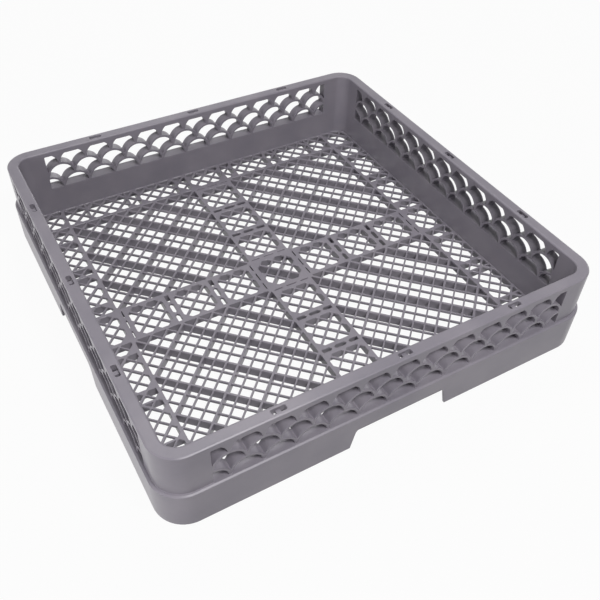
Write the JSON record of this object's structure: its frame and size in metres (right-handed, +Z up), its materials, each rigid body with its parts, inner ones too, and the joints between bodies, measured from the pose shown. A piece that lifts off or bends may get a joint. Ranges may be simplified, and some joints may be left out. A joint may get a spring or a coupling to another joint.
{
  "type": "dishwasher rack",
  "caption": "Square open-top dishwasher rack moulded in grey plastic, with a pierced fish-scale band in its walls, a mesh floor, slots in the rim and hand-holds.",
  "frame": {"origin": "on the surface that the rack stands on, under the middle of its square foot", "axes": "+X along the front, +Y to the back, +Z up out of the open top"},
  "size_m": [0.5, 0.5, 0.1],
  "materials": {
    "grey_plastic": "satin moulded"
  },
  "bodies": {
    "root": {"rack": "grey_plastic"}
  },
  "joints": []
}
